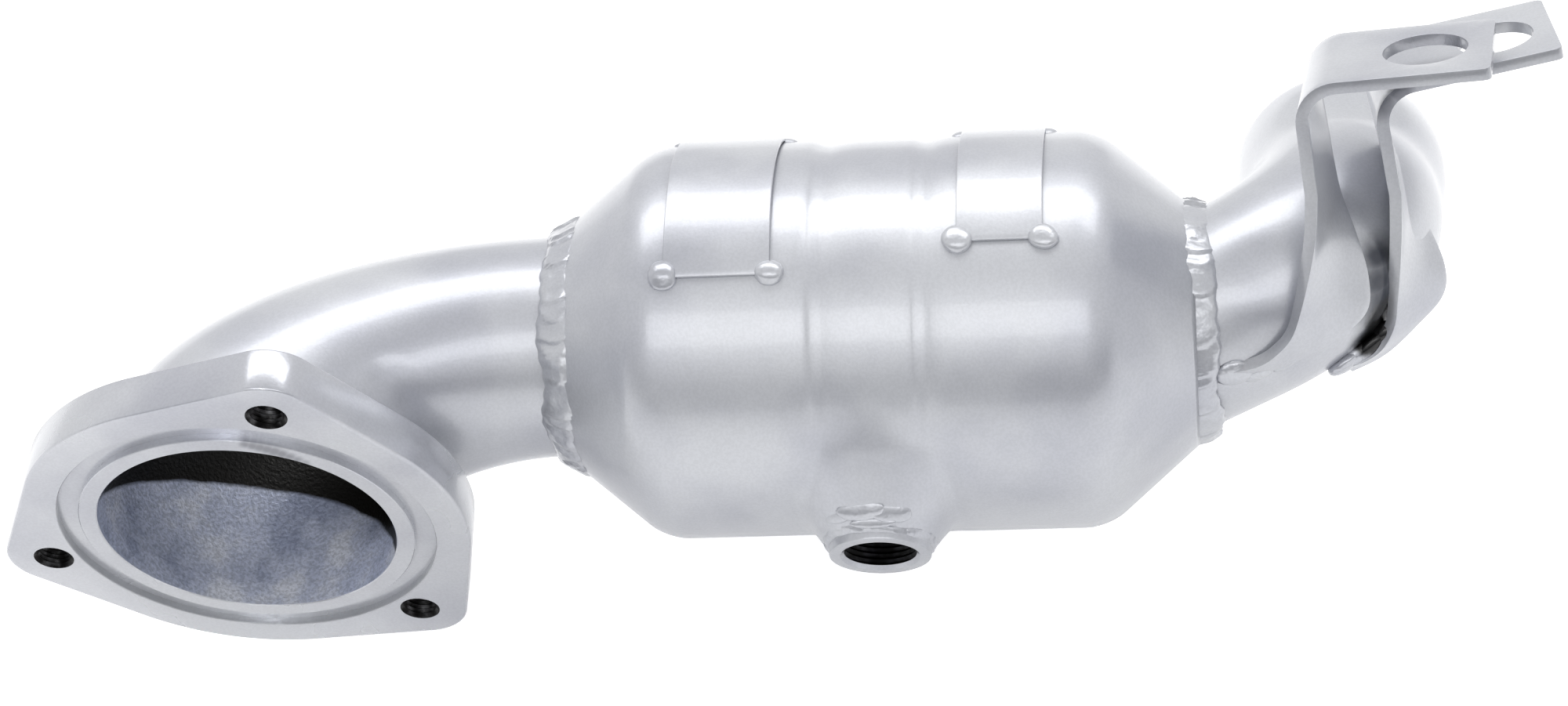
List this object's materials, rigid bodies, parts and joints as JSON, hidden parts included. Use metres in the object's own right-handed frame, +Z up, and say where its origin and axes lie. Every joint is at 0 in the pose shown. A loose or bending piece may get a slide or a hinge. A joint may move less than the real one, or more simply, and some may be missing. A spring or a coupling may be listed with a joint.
{
  "type": "catalytic converter",
  "caption": "Flanged catalytic converter with a grooved can, a widening inlet elbow, a sensor port, a bent outlet pipe and two hanger brackets.",
  "frame": {"origin": "centre of the inlet flange's joint face", "axes": "+X along the can toward the outlet, +Z up, the inlet flange faces -Y and slightly down"},
  "size_m": [0.398, 0.1501, 0.1541],
  "materials": {
    "silver_paint": "satin silver paint over steel",
    "painted_weld": "rough painted weld bead",
    "catalyst_ceramic": "matt washcoated ceramic",
    "support_mat": "pressed fibre mat",
    "steel_mesh": "knitted wire"
  },
  "bodies": {
    "root": {"inlet_flange": "silver_paint", "inlet_pipe": "silver_paint", "converter_shell": "silver_paint", "outlet_pipe": "silver_paint", "oxygen_sensor_bung": "silver_paint", "front_tag_plate": "silver_paint", "rear_tag_plate": "silver_paint", "front_hanger_bracket": "silver_paint", "rear_hanger_bracket": "silver_paint", "inlet_flange_weld": "painted_weld", "inlet_cone_weld": "painted_weld", "bung_weld": "painted_weld", "front_tag_welds": "painted_weld", "rear_tag_welds": "painted_weld", "outlet_cone_weld": "painted_weld", "front_bracket_welds": "painted_weld", "rear_bracket_welds": "painted_weld", "front_catalyst_brick": "catalyst_ceramic", "rear_catalyst_brick": "catalyst_ceramic", "front_support_mat": "support_mat", "rear_support_mat": "support_mat", "mat_end_seals": "steel_mesh"}
  },
  "joints": []
}
